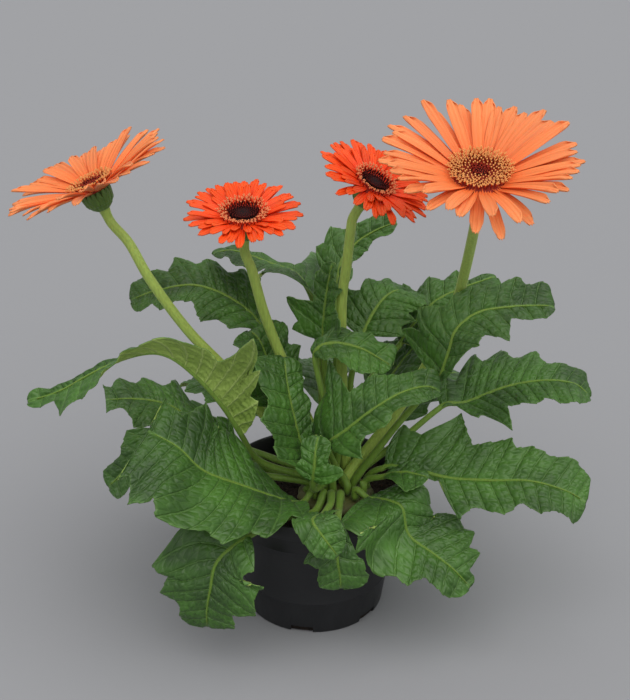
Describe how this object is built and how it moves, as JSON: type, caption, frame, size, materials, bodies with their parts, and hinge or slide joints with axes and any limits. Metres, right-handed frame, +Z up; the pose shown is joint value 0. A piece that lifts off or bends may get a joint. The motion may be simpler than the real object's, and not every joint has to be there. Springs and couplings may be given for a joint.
{
  "type": "potted gerbera",
  "caption": "Potted gerbera daisy: orange flowers on bare stems over lobed green leaves, rooted in compost in a round black nursery pot.",
  "frame": {"origin": "middle of the pot's base, on the surface the pot stands on", "axes": "+Z up, -Y toward the plant's front, +X to the right as seen from the front"},
  "size_m": [0.4245, 0.2854, 0.4017],
  "materials": {
    "pot_plastic": "thin black injection-moulded polypropylene, satin",
    "compost": "dark moist peat and bark compost, rough",
    "crown_wood": "short brown-green woolly rootstock, matt",
    "leaf_green": "mid green quilted leaf with paler veins, soft satin",
    "stem_green": "pale green, finely hairy",
    "calyx_green": "green overlapping bracts, finely hairy",
    "ray_pale_orange": "pale orange petal, velvety satin",
    "ray_deep_orange": "deep orange petal, velvety satin",
    "floret_orange": "small orange florets with golden tips",
    "disc_maroon": "near-black maroon buds, rough"
  },
  "bodies": {
    "root": {"pot": "pot_plastic", "compost": "compost", "crown": "crown_wood", "leaf_front_left": "leaf_green", "leaf_low_front_left": "leaf_green", "leaf_lower_left": "leaf_green", "leaf_arched_left": "leaf_green", "leaf_shaded_left": "leaf_green", "leaf_inner_left": "leaf_green", "leaf_back_left": "leaf_green", "leaf_back_middle": "leaf_green", "leaf_back_tall": "leaf_green", "leaf_young_upright": "leaf_green", "leaf_back_curled": "leaf_green", "leaf_back_right": "leaf_green", "leaf_upper_right": "leaf_green", "leaf_middle_right": "leaf_green", "leaf_lower_right": "leaf_green", "leaf_centre_dark": "leaf_green", "leaf_centre_top": "leaf_green", "leaf_front_right": "leaf_green", "leaf_front_hanging": "leaf_green", "leaf_young_right": "leaf_green", "leaf_centre_left": "leaf_green", "leaf_small_front": "leaf_green", "leaf_small_hanging": "leaf_green", "leaf_inner_right": "leaf_green", "leaf_inner_back": "leaf_green", "leaf_rear_right": "leaf_green", "leaf_rear_middle": "leaf_green", "leaf_rear_left": "leaf_green", "flower_left_stem": "stem_green", "flower_left_calyx": "calyx_green", "flower_left_rays": "ray_pale_orange", "flower_left_florets": "floret_orange", "flower_left_disc": "disc_maroon", "flower_middle_left_stem": "stem_green", "flower_middle_left_calyx": "calyx_green", "flower_middle_left_rays": "ray_deep_orange", "flower_middle_left_florets": "floret_orange", "flower_middle_left_disc": "disc_maroon", "flower_middle_right_stem": "stem_green", "flower_middle_right_calyx": "calyx_green", "flower_middle_right_rays": "ray_deep_orange", "flower_middle_right_florets": "floret_orange", "flower_middle_right_disc": "disc_maroon", "flower_right_stem": "stem_green", "flower_right_calyx": "calyx_green", "flower_right_rays": "ray_pale_orange", "flower_right_florets": "floret_orange", "flower_right_disc": "disc_maroon"}
  },
  "joints": []
}
